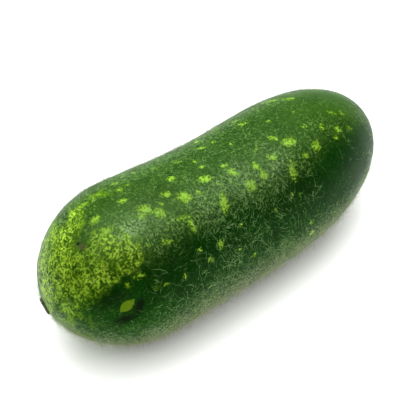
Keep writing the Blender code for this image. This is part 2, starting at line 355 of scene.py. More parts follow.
CAMERA_MATRIX, CAMERA_PLACE = camera_turn()


def pixel_ray(x, y):
    """The way from the camera through a pixel of the picture."""
    middle = PICTURE / 2
    way = Vector(((x - middle) / CAMERA_FOCAL_PIXELS, (middle - y) / CAMERA_FOCAL_PIXELS, -1.0))
    return (CAMERA_MATRIX @ way).normalized()


def frame_at(place, along, across, out):
    """A frame at a place, whose X, Y and Z go these ways."""
    return Matrix.Translation(place) @ Matrix((along, across, out)).transposed().to_4x4()


def srgb(red, green, blue):
    """Linear colour of a screen colour from 0 to 255."""
    def linear(value):
        share = value / 255.0
        return share / 12.92 if share <= 0.04045 else ((share + 0.055) / 1.055) ** 2.4
    return (linear(red), linear(green), linear(blue), 1.0)


def placed_object(data, name):
    """An object of a mesh, a lamp or a camera, in the scene."""
    data.name = name
    made = bpy.data.objects.new(name, data)
    bpy.context.scene.collection.objects.link(made)
    return made


def mesh_of(shape, name):
    """A mesh of a bmesh, which is freed."""
    mesh = bpy.data.meshes.new(name)
    shape.to_mesh(mesh)
    shape.free()
    return mesh


class Nodes:
    """A node tree being made. Values are output sockets or plain ones."""

    def __init__(self, tree):
        self.tree = tree

    def join(self, node, links):
        """Gives a node's inputs their (input, value)."""
        for key, value in links:
            if isinstance(value, bpy.types.NodeSocket):
                self.tree.links.new(value, node.inputs[key])
            else:
                node.inputs[key].default_value = value

    def node(self, kind, links=(), **settings):
        """A node, with settings for its properties and (input, value) links."""
        made = self.tree.nodes.new(kind)
        for key, value in settings.items():
            setattr(made, key, value)
        self.join(made, links)
        return made

    def output(self, kind, links=(), **settings):
        """The first output of a new node."""
        return self.node(kind, links, **settings).outputs[0]

    def maths(self, operation, *values):
        return self.output("ShaderNodeMath", enumerate(values), operation=operation)

    def vectors(self, operation, *values):
        return self.output("ShaderNodeVectorMath", enumerate(values), operation=operation)

    def scaled(self, vector, scale):
        return self.output("ShaderNodeVectorMath", ((0, vector), ("Scale", scale)), operation="SCALE")

    def parts(self, vector):
        """X, Y and Z of a vector."""
        return self.node("ShaderNodeSeparateXYZ", ((0, vector),)).outputs

    def plus(self, first, *others):
        for other in others:
            first = self.maths("ADD", first, other)
        return first

    def times(self, first, *others):
        for other in others:
            first = self.maths("MULTIPLY", first, other)
        return first

    def swing(self, value, amount):
        """A value around one half, moved and scaled to swing round zero."""
        return self.times(self.maths("SUBTRACT", value, 0.5), amount)

    def ramp(self, value, low, high, start=0.0, end=1.0, curve="SMOOTHSTEP"):
        """A value between low and high, moved to between start and end."""
        limits = (("From Min", low), ("From Max", high), ("To Min", start), ("To Max", end))
        return self.output("ShaderNodeMapRange", (("Value", value), *limits), interpolation_type=curve)


class Paint(Nodes):
    """A node material being made. Its base colour is laid down in coats."""

    def __init__(self, name):
        self.material = bpy.data.materials.new(name)
        self.material.use_nodes = True
        super().__init__(self.material.node_tree)
        self.shader = self.tree.nodes["Principled BSDF"]
        self.place = self.node("ShaderNodeTexCoord").outputs["Object"]
        self.base = None

    def noise(self, size, detail=2.0, rough=0.5, stretch=(1.0, 1.0, 1.0), at=(0.0, 0.0, 0.0), swirl=0.0):
        """A noise between 0 and 1 whose lumps are about size across."""
        place = self.output(
            "ShaderNodeMapping", (("Vector", self.place), ("Location", at), ("Scale", stretch))
        )
        return self.noise_at(place, size, detail, rough, swirl)

    def noise_at(self, place, size, detail, rough, swirl=0.0):
        look = (("Scale", 0.5 / size), ("Detail", detail), ("Roughness", rough), ("Distortion", swirl))
        return self.output("ShaderNodeTexNoise", (("Vector", place), *look))

    def blend(self, factor, first, second):
        """A colour mix. Either colour is an output socket, or three numbers from 0 to 255."""
        first, second = (srgb(*each) if isinstance(each, tuple) else each for each in (first, second))
        node = self.node("ShaderNodeMix", ((0, factor), (6, first), (7, second)), data_type="RGBA")
        return node.outputs[2]

    def coat(self, factor, colour):
        """Lays a colour over the base colour."""
        self.base = self.blend(factor, self.base, colour)

    def attribute(self, name):
        return self.node("ShaderNodeAttribute", attribute_name=name).outputs["Fac"]

    def height(self):
        return self.parts(self.place)[2]

    def finish(self, roughness, *others):
        """Gives the shader its base colour, its roughness and others, each as (input, value)."""
        self.join(self.shader, (("Base Color", self.base), ("Roughness", roughness), *others))
        return self.material

    def bump(self, height, distance, strength=1.0):
        links = (("Height", height), ("Distance", distance), ("Strength", strength))
        self.join(self.shader, (("Normal", self.output("ShaderNodeBump", links)),))

    def seen_from(self, matrix):
        """Object coordinates as seen from a frame: X, Y and Z."""
        frame_place = (("Location", matrix.to_translation()), ("Rotation", matrix.to_euler()))
        return self.parts(
            self.output("ShaderNodeMapping", (("Vector", self.place), *frame_place), vector_type="TEXTURE")
        )

    def oval(self, matrix, length, width, ragged, teeth):
        """Distance from an oval spot's middle, 1 at its edge, with a ragged edge."""
        squares = [
            self.maths("POWER", self.maths("DIVIDE", part, reach), 2.0)
            for part, reach in zip(self.seen_from(matrix), (length / 2, width / 2, max(length, width)))
        ]
        return self.plus(self.maths("SQRT", self.plus(*squares)), self.swing(self.noise(teeth), ragged))

    def leaf(self, matrix, length, width):
        """Distance from a leaf-shaped spot's midrib, 1 at its edge, pointed at both ends."""
        along, across, out = self.seen_from(matrix)
        share = self.maths("DIVIDE", along, length / 2)
        far = self.maths("ABSOLUTE", share)
        room = self.maths("MAXIMUM", self.maths("SUBTRACT", 1.0, self.maths("POWER", far, DROP_FULL)), 0.02)
        belly = self.maths("MAXIMUM", self.maths("SUBTRACT", 1.0, self.times(share, DROP_BELLY)), 0.1)
        edge = self.times(room, self.times(belly, width / 2))
        # Far above or below the skin, and past the points, it counts as outside.
        depth = self.times(self.maths("ABSOLUTE", out), 1.0 / length)
        beyond = self.times(self.maths("MAXIMUM", self.maths("SUBTRACT", far, 1.0), 0.0), 20.0)
        return self.plus(self.maths("DIVIDE", self.maths("ABSOLUTE", across), edge), self.plus(depth, beyond))

    def fibres(self, matrix, lines, size):
        """A noise drawn out along the radii of a frame, with the frame's radius and height."""
        across, upward, out = self.seen_from(matrix)
        flat = self.output("ShaderNodeCombineXYZ", ((0, across), (1, upward)))
        radius = self.node("ShaderNodeVectorMath", ((0, flat),), operation="LENGTH").outputs["Value"]
        depth = self.maths("DIVIDE", self.plus(radius, out), size)
        lifted = self.output("ShaderNodeCombineXYZ", ((2, depth),))
        place = self.vectors("ADD", self.scaled(self.vectors("NORMALIZE", flat), lines), lifted)
        return self.noise_at(place, 0.5, 3.0, 0.6), radius, out


# Kinds of the inputs of a shaping tree, by the kind of their value.
INPUT_KINDS = {
    int: "NodeSocketInt",
    float: "NodeSocketFloat",
    Vector: "NodeSocketVector",
    bpy.types.Material: "NodeSocketMaterial",
}


class Shaping(Nodes):
    """A geometry node tree being made, with named inputs and the values that they get."""

    def __init__(self, name, values):
        super().__init__(bpy.data.node_groups.new(name, "GeometryNodeTree"))
        self.values = values
        new_socket = self.tree.interface.new_socket
        new_socket("Geometry", in_out="INPUT", socket_type="NodeSocketGeometry")
        for label, value in values.items():
            new_socket(label, in_out="INPUT", socket_type=INPUT_KINDS[type(value)])
        new_socket("Geometry", in_out="OUTPUT", socket_type="NodeSocketGeometry")
        self.given = self.node("NodeGroupInput").outputs
        self.result = self.node("NodeGroupOutput").inputs[0]
        self.place = self.output("GeometryNodeInputPosition")

    def lumps(self, size, detail):
        """A noise between 0 and 1 whose lumps are about size across."""
        scale = self.maths("DIVIDE", 0.5, size)
        links = (("Vector", self.place), ("Scale", scale), ("Detail", detail))
        return self.output("ShaderNodeTexNoise", links)

    def finish(self, geometry):
        """Ends the tree: smooth, real and with its material on."""
        smooth = self.output("GeometryNodeSetShadeSmooth", (("Geometry", geometry),))
        real = self.output("GeometryNodeRealizeInstances", (("Geometry", smooth),))
        links = (("Geometry", real), ("Material", self.given["Material"]))
        self.tree.links.new(self.output("GeometryNodeSetMaterial", links), self.result)

    def shape(self, host, name):
        """host's mesh as the tree leaves it, as a plain mesh object at the origin."""
        modifier = host.modifiers.new("Shape", "NODES")
        modifier.node_group = self.tree
        for item in self.tree.interface.items_tree:
            if item.in_out == "INPUT" and item.name in self.values:
                modifier[item.identifier] = self.values[item.name]
        graph = bpy.context.evaluated_depsgraph_get()
        mesh = bpy.data.meshes.new_from_object(host.evaluated_get(graph), depsgraph=graph)
        mesh.transform(host.matrix_world)
        bpy.data.objects.remove(host)
        return placed_object(mesh, name)


def skin_tree(material):
    """Splits the solid's faces finely and gives the skin its slight unevenness."""
    values = {
        "Levels": SKIN_LEVELS,
        "Wave height": SKIN_WAVE_HEIGHT,
        "Wave size": SKIN_WAVE_SIZE,
        "Pimple height": SKIN_PIMPLE_HEIGHT,
        "Pimple size": SKIN_PIMPLE_SIZE,
        "Material": material,
    }
    tree = Shaping("skin", values)
    given = tree.given
    split = tree.output(
        "GeometryNodeSubdivisionSurface", (("Mesh", given["Geometry"]), ("Level", given["Levels"]))
    )
    heights = [
        tree.swing(tree.lumps(given[f"{kind} size"], 1.0), given[f"{kind} height"])
        for kind in ("Wave", "Pimple")
    ]
    offset = tree.scaled(tree.output("GeometryNodeInputNormal"), tree.plus(*heights))
    tree.finish(tree.output("GeometryNodeSetPosition", (("Geometry", split), ("Offset", offset))))
    return tree


def merged_copy(node, name):
    """A copy of a solid's mesh with its loose triangles joined, and paired where they are flat."""
    shape = bmesh.new()
    shape.from_mesh(frame["nodes"][node].data)
    bmesh.ops.remove_doubles(shape, verts=shape.verts, dist=MERGE_REACH)
    bmesh.ops.join_triangles(
        shape, faces=shape.faces, angle_face_threshold=PAIR_FLAT, angle_shape_threshold=PAIR_SQUARE
    )
    return placed_object(mesh_of(shape, name), name)


def triples(items, name):
    """Three numbers of each item of a mesh, such as its place."""
    values = np.empty(len(items) * 3, np.float32)
    items.foreach_get(name, values)
    return values.reshape(-1, 3).astype(float)


class Skin:
    """The skin's mesh, with what finds and marks places on it."""

    def __init__(self, piece):
        self.piece = piece
        self.tree = BVHTree.FromObject(piece, bpy.context.evaluated_depsgraph_get())
        self.points = triples(piece.data.vertices, "co")
        self.normals = triples(piece.data.vertex_normals, "vector")
        # How far round the fruit each point is, in degrees from -90 (under) to 90 (top).
        self.around = np.degrees(np.arctan2(self.normals[:, 2], np.abs(self.normals[:, 1]) + 1e-6))
        # How far each point faces the camera: 1 is straight at it, 0 edge-on, below 0 away.
        to_camera = np.array(CAMERA_PLACE) - self.points
        self.facing = np.einsum("ij,ij->i", self.normals, to_camera) / np.linalg.norm(to_camera, axis=1)

    def under_pixel(self, x, y):
        """Where the skin shows at a pixel: the place, and the skin's normal there."""
        place, normal, _, _ = self.tree.ray_cast(CAMERA_PLACE, pixel_ray(x, y))
        return place, normal

    def axes_at(self, normal, turn):
        """Two unit vectors in the skin. The first shows turned by turn degrees from level."""
        level = CAMERA_MATRIX @ Vector((1.0, 0.0, 0.0))
        first = (level - normal * level.dot(normal)).normalized()
        second = normal.cross(first)
        angle = math.radians(turn)
        along = first * math.cos(angle) + second * math.sin(angle)
        return along, normal.cross(along)

    def matrix_at(self, pixel, turn):
        """A frame on the skin: X along the turned way, Z out of the skin."""
        place, normal = self.under_pixel(*pixel)
        return frame_at(place, *self.axes_at(normal, turn), normal)

    def away(self, place, radius):
        """Each point's distance from a place, where 1 is the radius."""
        return np.linalg.norm(self.points - np.array(place), axis=1) / radius

    def patches(self, rows, narrow=1.0):
        """The sum of soft patches at each point, from (x, y) pixel, radius in mm, strength."""
        total = np.zeros(len(self.points))
        for x, y, radius, strength in rows:
            away = self.away(self.under_pixel(x, y)[0], radius * MM)
            total += strength * np.exp(-(away**2) * narrow)
        return total

    def oval(self, place, normal, turn, length, width):
        """Each point's distance from place, where 1 is the edge of a length by width oval."""
        along, across = self.axes_at(normal, turn)
        offset = self.points - np.array(place)
        out = np.array(along.cross(across))
        flat = np.hypot(offset @ np.array(along) / (length / 2), offset @ np.array(across) / (width / 2))
        return np.hypot(flat, offset @ out / max(length, width))

    def write(self, name, values):
        layer = self.piece.data.attributes.new(name, "FLOAT", "POINT")
        layer.data.foreach_set("value", values.astype(np.float32))


def dent(skin):
    """Presses the shallow dent beside the drop-shaped mark."""
    place, normal = skin.under_pixel(*DENT_PIXEL)
    depth = DENT_DEPTH * np.clip(1.0 - skin.away(place, DENT_RADIUS) ** 2, 0.0, 1.0) ** 2
    skin.points -= depth[:, None] * np.array(normal)
    skin.points[:, 2] = np.maximum(skin.points[:, 2], 0.0)
    skin.piece.data.vertices.foreach_set("co", skin.points.astype(np.float32).ravel())
    skin.piece.data.update()
    return Skin(skin.piece)


def mark_flecks(skin):
    """Writes how near each point is to a fleck: 0 away from all, and up to 1 in the middle."""
    field = np.zeros(len(skin.points))

    def add(place, normal, turn, length, width, strength):
        away = skin.oval(place, normal, turn, length, width)
        np.maximum(field, strength * np.clip(1.0 - away / FLECK_EDGE, 0.0, 1.0), out=field)

    grown = FLECK_GROWTH * MM
    for x, y, length, width, turn, strength in FLECKS_SEEN:
        add(*skin.under_pixel(x, y), turn, length * grown, width * grown, strength**FLECK_LIFT)
    draw = np.random.default_rng(FLECK_SEED)
    for _ in range(FLECKS_MORE):
        chosen = draw.integers(len(skin.points))
        length, width = draw.uniform(*FLECK_LENGTHS), draw.uniform(*FLECK_WIDTHS)
        turn, strength = draw.uniform(0, 180), draw.uniform(*FLECK_STRENGTHS)
        if skin.facing[chosen] <= FLECK_HIDDEN:
            add(skin.points[chosen], Vector(skin.normals[chosen]), turn, length * MM, width * MM, strength)
    skin.write("fleck", field)


def mark_mottle(skin):
    """Writes how mottled each point is: all round the blossom end, and by patches in view."""
    along = skin.points[:, 0]
    start, end = BLOSSOM_END.x + MOTTLE_FROM * MM, BLOSSOM_END.x + MOTTLE_TO * MM
    share = np.clip((end - along) / (end - start), 0.0, 1.0)
    field = MOTTLE_STRENGTH * share * share * (3 - 2 * share) + skin.patches(MOTTLE_PATCHES, MOTTLE_NARROW)
    skin.write("mottle", np.clip(field, 0.0, MOTTLE_MOST))


def mark_hairiness(skin):
    """Writes how thick the hairs stand at each point, as a share of the usual."""
    more_here = skin.patches(HAIR_PATCHES)
    for end in (BLOSSOM_END, STEM_END):
        more_here += HAIR_COLLAR_MORE * np.exp(-(skin.away(end, HAIR_COLLAR) ** 2))
    thin = np.interp(skin.points[:, 0], (STEM_THIN_FROM, STEM_THIN_TO), (1.0, STEM_THIN_SHARE))
    for name, shares in (("down", DOWN_SHARES), ("bristle", BRISTLE_SHARES)):
        field = np.interp(skin.around, HAIR_ANGLES, shares) * thin + more_here
        skin.write(name, np.clip(field, HAIR_LEAST, HAIR_MOST))


def mark_shade_tone_and_grain(skin):
    """Writes the turn of the green, from the flank's painted shade to the top's painted light, and the
    strength of the grain round the fruit.
    """
    along = skin.points[:, 0]
    around = skin.around
    for degrees, size, phase in SHADE_TONE_WAVES:
        around = around + degrees * np.sin(along / (size * MM) + phase)
    skin.write("tone", np.interp(around, SHADE_TONE_ANGLES, SHADE_TONE_SHARES))
    fade = np.interp(along, (GRAIN_FADE_FROM, GRAIN_FADE_TO), (1.0, GRAIN_FADE_SHARE))
    skin.write("grain", fade * np.interp(around, GRAIN_AND_SHEEN_ANGLES, GRAIN_AND_SHEEN_SHARES))


def mark_bloom_and_sheen(skin):
    """Writes how thick the ash-grey bloom lies, with its painted highlight along the sheen and its painted
    light low on the fruit.
    """
    side = np.interp(skin.normals[:, 1], (BLOOM_FAR_FROM, BLOOM_FAR_TO), (1.0, BLOOM_FAR_SHARE))
    field = side * np.interp(skin.around, BLOOM_AND_BOUNCE_ANGLES, BLOOM_AND_BOUNCE_SHARES) + skin.patches(SHEEN_BLOOM_PATCHES)
    skin.write("bloom", np.clip(field, 0.0, 1.0))


def mark_against_light(skin):
    """Writes where the hairs stand against the light, along the upper outline as the camera sees it: there
    their colour gets painted shade.
    """
    upward = skin.normals @ np.array(CAMERA_MATRIX @ Vector((0.0, 1.0, 0.0)))
    edge = np.exp(-((skin.facing / AGAINST_LIGHT_EDGE) ** 2))
    skin.write("against_light", edge * np.clip(2.0 * upward, 0.0, 1.0))


def paint_rind(skin, paint):
    tone, mottle, fleck = (paint.attribute(name) for name in ("tone", "mottle", "fleck"))
    # Body green: broad drifts of two greens, on the flank and on the top, with darker blotches. The
    # flank's deep green is painted shade and the top's lighter one painted light.
    drifts = paint.ramp(paint.noise(22 * MM, rough=0.55, stretch=(0.5, 1.0, 1.0)), 0.34, 0.66)
    paint.base = paint.blend(tone, paint.blend(drifts, *SHADED_FLANK_GREENS), paint.blend(drifts, *LIT_TOP_GREENS))
    blotches = paint.noise(3.2 * MM, rough=0.6, at=(6.0, 3.0, 1.0))
    paint.coat(paint.ramp(blotches, 0.48, 0.66, 0.0, 0.45), BLOTCH_GREEN)
    # Fine grain: pale specks and small dark pits, in clouds. Along the band of the sheen and low
    # on the fruit the pale specks are partly painted highlight and painted light from the table.
    specks = paint.noise(0.55 * MM, rough=0.6, swirl=0.8)
    clouds = paint.noise(5 * MM, at=(2.0, 8.0, 5.0))
    shown = paint.times(paint.attribute("grain"), paint.ramp(clouds, 0.35, 0.6, 0.4, 1.0))
    paint.coat(paint.times(paint.ramp(specks, 0.34, 0.47, 0.95, 0.0), shown), PIT_GREEN)
    paint.coat(paint.times(paint.ramp(specks, 0.49, 0.68, 0.0, 0.9), shown), SPECK_GREEN)
    # Mottle: a pale net round small dark hollows, brightest where it is thickest.
    patchy = paint.swing(paint.noise(3.8 * MM, 3.0, 0.65, at=(3.0, 1.0, 2.0)), 2.6)
    cover = paint.ramp(paint.plus(mottle, patchy), 0.20, 0.80)
    cover = paint.times(cover, paint.ramp(mottle, 0.02, 0.40))
    paint.coat(paint.times(cover, 0.9), HOLLOW_GREEN)
    # Where the mottle is thickest the net is painted paler still: painted highlight.
    paint.coat(paint.ramp(mottle, 0.9, 1.5, 0.0, 0.25), PALE_GREEN)
    fine = paint.noise(0.50 * MM, rough=0.7, at=(1.0, 5.0, 2.0))
    clumps = paint.noise(1.7 * MM, rough=0.6, at=(4.0, 4.0, 8.0))
    weave = paint.plus(paint.times(fine, 0.55), paint.times(clumps, 0.45))
    net = paint.times(paint.ramp(weave, 0.38, 0.57), paint.ramp(fine, 0.34, 0.60, 0.35, 1.0))
    paint.coat(paint.times(net, cover), PALE_GREEN)
    bright = paint.times(
        paint.ramp(weave, 0.44, 0.60),
        paint.ramp(mottle, 0.25, 0.95),
        paint.ramp(fine, 0.40, 0.60, 0.15, 1.0),
        paint.ramp(clouds, 0.38, 0.60, 0.55, 1.0),
    )
    paint.coat(paint.times(bright, cover), paint.blend(tone, *NET_LIMES))
    # Flecks: ragged pale stars. Their lime is painted lighter on the flank, to make up for the painted shade
    # there.
    wander = paint.swing(paint.noise(0.55 * MM, 3.0, 0.75, at=(7.0, 2.0, 4.0)), 3.0)
    spread = paint.times(paint.plus(fleck, wander), paint.ramp(fleck, 0.0, 0.30))
    paint.coat(paint.ramp(spread, 0.14, 0.50, 0.0, 0.8), PALE_GREEN)
    paint.coat(paint.ramp(spread, 0.40, 0.74, 0.0, 0.95), paint.blend(tone, *FLECK_LIMES))
    # Bloom: fine ash-grey dust, partly painted highlight along the sheen, and greyer low on the
    # fruit, where it is painted light from the white table.
    dust = paint.ramp(paint.noise(0.5 * MM, rough=0.7, at=(5.0, 3.0, 9.0)), 0.46, 0.60, 0.0, 0.95)
    ash_drifts = paint.ramp(paint.noise(4 * MM, rough=0.6, at=(8.0, 6.0, 3.0)), 0.42, 0.60)
    low = paint.ramp(paint.height(), PAINTED_BOUNCE_FROM, PAINTED_BOUNCE_TO)
    ash_and_sheen = paint.blend(low, paint.blend(ash_drifts, *PAINTED_BOUNCE_ASHES), HIGH_SHEEN_ASH)
    paint.coat(paint.times(paint.attribute("bloom"), dust), ash_and_sheen)
    # Marks: painted shade round the dent, darker patches, the blemish and its pinhole, then the drop-shaped
    # mark.
    for pixel, length, width, turn, ragged, teeth, fade_from, fade_to, strength, colour in OVAL_MARKS:
        spot = paint.oval(skin.matrix_at(pixel, turn), length * MM, width * MM, ragged, teeth * MM)
        paint.coat(paint.ramp(spot, fade_from, fade_to, strength, 0.0), colour)
    pixel, length, width, turn = DROP_MARK
    drop = paint.leaf(skin.matrix_at(pixel, turn), length, width)
    paint.coat(paint.ramp(drop, 0.80, 1.10, 1.0, 0.0), paint.blend(paint.noise(1.6 * MM), *DROP_GREENS))
    gloss = paint.ramp(paint.noise(5 * MM, at=(9.0, 9.0, 1.0)), 0.3, 0.7, 0.34, 0.44)
    paint.finish(gloss, ("IOR", 1.45), ("Specular IOR Level", 0.06), ("Specular Tint", srgb(*GLOSS_TINT)))
    paint.bump(paint.plus(specks, paint.times(fine, 0.6)), 0.15 * MM, 0.8)


def make_skin():
    paint = Paint("gourd_rind")
    piece = skin_tree(paint.material).shape(merged_copy("gourd", "gourd_skin_base"), "gourd_skin")
    skin = dent(Skin(piece))
    for mark in (mark_flecks, mark_mottle, mark_hairiness, mark_shade_tone_and_grain, mark_bloom_and_sheen, mark_against_light):
        mark(skin)
    paint_rind(skin, paint)
    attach(piece, "root")
    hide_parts("gourd")
    return skin


def steps_round(count):
    """The angles of a circle's steps."""
    return [2 * math.pi * step / count for step in range(count)]


def join_rings(shape, low, high, index=0):
    for step in range(len(low)):
        after = (step + 1) % len(low)
        face = shape.faces.new((low[step], low[after], high[after], high[step]))
        face.material_index = index


def close_ring(shape, ring, place, index=0, flip=False):
    """A fan from a ring to a point."""
    middle = shape.verts.new(place)
    for step in range(len(ring)):
        after = (step + 1) % len(ring)
        corners = (ring[after], ring[step], middle) if flip else (ring[step], ring[after], middle)
        face = shape.faces.new(corners)
        face.material_index = index


def hair_mesh(name, rings, width, bend, kink, draw):
    """One hair, a unit long, standing on the origin: a thin spike with a bend and a kink."""
    steps = rings + 1
    curve = draw.uniform(-bend, bend)
    shape = bmesh.new()
    below = None
    for step in range(steps):
        share = step / steps
        sway = Vector((draw.uniform(-kink, kink), draw.uniform(-kink, kink), 0.0)) * (step > 0)
        middle = Vector((curve * share * share * 2.0, 0.0, share)) + sway * HAIR_SWAY
        radius = width / 2 * (1.0 - HAIR_TAPER * share)
        ring = [
            shape.verts.new(middle + radius * Vector((math.cos(angle), math.sin(angle), 0.0)))
            for angle in steps_round(HAIR_SIDES)
        ]
        if below is None:
            shape.faces.new(ring[::-1])
        else:
            join_rings(shape, below, ring)
        below = ring
    close_ring(shape, below, Vector((curve * 2.0, draw.uniform(-kink, kink), 1.0)))
    return mesh_of(shape, name)


def hair_tree(name, field, shapes, values):
    """Stands hairs on a surface, thick as field says: picked, leaned, spun and scaled at random."""
    tree = Shaping(f"{name}_tree", values)
    given = tree.given

    def drawn(kind, low, high, more):
        """A random value. more sets its draw apart from the tree's other ones."""
        links = (("Min", low), ("Max", high), ("Seed", tree.plus(given["Seed"], float(more))))
        return tree.node("FunctionNodeRandomValue", links, data_type=kind).outputs["Value"]

    root_height = tree.parts(tree.place)[2]
    clear = tree.output(
        "FunctionNodeCompare", ((0, root_height), (1, given["Lowest root"])), operation="GREATER_THAN"
    )
    share = tree.output("GeometryNodeInputNamedAttribute", (("Name", field),), data_type="FLOAT")
    clump = tree.lumps(given["Clump size"], 2.0)
    gathered = tree.ramp(clump, 0.36, 0.64, CLUMP_LEAST, CLUMP_MOST, "LINEAR")
    number = tree.times(share, gathered, given["Number to a square metre"])
    spread = tree.node(
        "GeometryNodeDistributePointsOnFaces",
        (("Mesh", given["Geometry"]), ("Selection", clear), ("Density", number), ("Seed", given["Seed"])),
    )
    normal = spread.outputs["Normal"]
    any_way = drawn("FLOAT_VECTOR", (-1.0, -1.0, -1.0), (1.0, 1.0, 1.0), 10)
    level = tree.vectors("NORMALIZE", tree.vectors("CROSS_PRODUCT", normal, any_way))
    lean = drawn("FLOAT", given["Least lean"], given["Most lean"], 20)
    upward = tree.scaled(normal, tree.maths("COSINE", lean))
    sideways = tree.scaled(level, tree.maths("SINE", lean))
    way = tree.vectors("ADD", upward, sideways)
    stand = tree.output("FunctionNodeAlignRotationToVector", (("Vector", way),), axis="Z")
    spin = tree.output("ShaderNodeCombineXYZ", ((2, drawn("FLOAT", 0.0, 2 * math.pi, 30)),))
    spin = tree.output("FunctionNodeEulerToRotation", ((0, spin),))
    turned = tree.output(
        "FunctionNodeRotateRotation", (("Rotation", stand), ("Rotate By", spin)), rotation_space="LOCAL"
    )
    picks = (("Collection", shapes), ("Separate Children", True), ("Reset Children", True))
    placed = tree.output(
        "GeometryNodeInstanceOnPoints",
        (
            ("Points", spread.outputs["Points"]),
            ("Instance", tree.output("GeometryNodeCollectionInfo", picks)),
            ("Pick Instance", True),
            ("Instance Index", drawn("INT", 0, HAIR_VARIANTS - 1, 50)),
            ("Rotation", turned),
            ("Scale", drawn("FLOAT", given["Shortest"], given["Longest"], 40)),
        ),
    )
    real = tree.output("GeometryNodeRealizeInstances", (("Geometry", placed),))
    # Hairs bend back at the table and at the solid's box.
    within = tree.vectors("MAXIMUM", tree.place, given["Low corner"])
    within = tree.vectors("MINIMUM", within, given["High corner"])
    tree.finish(tree.output("GeometryNodeSetPosition", (("Geometry", real), ("Position", within))))
    return tree


def hair_material(name, colours):
    paint = Paint(name)
    drift = paint.noise(1.2 * MM, 1.0)
    paint.base = paint.blend(paint.ramp(drift, 0.35, 0.65), *colours)
    # Paler low on the fruit: painted light from the white table.
    paint.coat(paint.ramp(paint.height(), PAINTED_BOUNCE_FROM, PAINTED_BOUNCE_TO, 0.9, 0.0), PAINTED_BOUNCE_HAIR)
    # Painted shade: hairs against the light along the upper outline are darkened.
    paint.coat(paint.times(paint.attribute("against_light"), AGAINST_LIGHT_DIM), DIM_HAIR)
    return paint.finish(paint.ramp(drift, 0.3, 0.7, 0.42, 0.6), ("IOR", 1.5), ("Specular IOR Level", 0.15))


def make_hairs(skin):
    looks = {
        "down": hair_material("soft_hair", SOFT_HAIR),
        "bristle": hair_material("bristly_hair", BRISTLY_HAIR),
    }
    low, high = CAD_BOX
    side = high - low
    low_corner = low - side * HAIR_REACH
    low_corner.z = LOWEST_HAIR
    high_corner = high + side * HAIR_REACH
    made = []
    for name, field, number, shortest, longest, least, most, rings, width, bend, kink, seed in HAIR_PIECES:
        draw = np.random.default_rng(seed)
        shapes = bpy.data.collections.new(f"{name}_shapes")
        for variant in range(HAIR_VARIANTS):
            mesh = hair_mesh(f"{name}_{variant}", rings, width, bend, kink, draw)
            mesh.materials.append(looks[field])
            shapes.objects.link(bpy.data.objects.new(mesh.name, mesh))
        values = {
            "Number to a square metre": float(number),
            "Shortest": shortest * MM,
            "Longest": longest * MM,
            "Least lean": math.radians(least),
            "Most lean": math.radians(most),
            "Lowest root": LOWEST_ROOT,
            "Low corner": low_corner,
            "High corner": high_corner,
            "Clump size": HAIR_CLUMP,
            "Seed": seed,
            "Material": looks[field],
        }
        host = placed_object(skin.piece.data.copy(), f"{name}_base")
        piece = hair_tree(name, field, shapes, values).shape(host, name)
        for hair in list(shapes.objects):
            bpy.data.objects.remove(hair)
        bpy.data.collections.remove(shapes)
        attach(piece, "root")
        made.append(piece)
    return made


def make_camera():
    lens = bpy.data.cameras.new("camera")
    lens.sensor_width = CAMERA_SENSOR
    lens.lens = CAMERA_FOCAL_PIXELS / PICTURE * CAMERA_SENSOR
    camera = placed_object(lens, "camera")
    camera.matrix_world = Matrix.Translation(CAMERA_PLACE) @ CAMERA_MATRIX.to_4x4()
    bpy.context.scene.camera = camera


def make_table():
    bpy.ops.mesh.primitive_circle_add(vertices=TABLE_SIDES, radius=TABLE_RADIUS, fill_type="NGON")
    table = bpy.context.object
    table.name = "table"
    paint = Paint("white_table")
    paint.base = paint.blend(paint.noise(0.2), *TABLE_WHITES)
    table.data.materials.append(paint.finish(0.8, ("Specular IOR Level", 0.2)))
    return table


def make_light(lit):
    """Soft boxes that each light one collection of objects, and the room."""
    for name, height, back, width, depth, watts, what, left_out in SOFT_BOXES:
        data = bpy.data.lights.new(name, "AREA")
        data.shape = "RECTANGLE"
        data.size, data.size_y = width, depth
        data.energy = watts
        lamp = placed_object(data, name)
        place = AWAY * back + Vector((0.0, 0.0, height))
        out = place.normalized()
        lamp.matrix_world = frame_at(place, RIGHT, out.cross(RIGHT), out)
        lamp.light_linking.receiver_collection = lit[what]
        if left_out:
            setattr(lamp, f"visible_{left_out}", False)
    world = bpy.data.worlds.new("room")
    bpy.context.scene.world = world
    world.use_nodes = True
    room = Nodes(world.node_tree)
    way = room.node("ShaderNodeTexCoord").outputs["Generated"]
    bright_side = AWAY - RIGHT * ROOM_LEFT
    facing = room.node("ShaderNodeVectorMath", ((0, way), (1, bright_side)), operation="DOT_PRODUCT")
    strength = room.ramp(facing.outputs["Value"], ROOM_DARK_AT, ROOM_BRIGHT_AT, ROOM_DARK, ROOM_BRIGHT)
    # Past the table's edge the picture shows plain white.
    strength = room.maths("MAXIMUM", strength, room.node("ShaderNodeLightPath").outputs["Is Camera Ray"])
    room.join(world.node_tree.nodes["Background"], (("Color", (1.0, 1.0, 1.0, 1.0)), ("Strength", strength)))
    bpy.context.scene.view_settings.view_transform = "Standard"


def end_matrix(place, way):
    """A frame at an end of the fruit: Z points out, X up."""
    out = way.normalized()
    up = (Vector((0.0, 0.0, 1.0)) - out * out.z).normalized()
    return frame_at(place, up, out.cross(up), out)


def ring_of(shape, radius, height, wobble):
    """A ring of vertices round Z, each with its own (radius share, lift)."""
    ring = []
    for angle, (share, lift) in zip(steps_round(len(wobble)), wobble):
        reach = radius * share
        ring.append(shape.verts.new((reach * math.cos(angle), reach * math.sin(angle), height + lift)))
    return ring


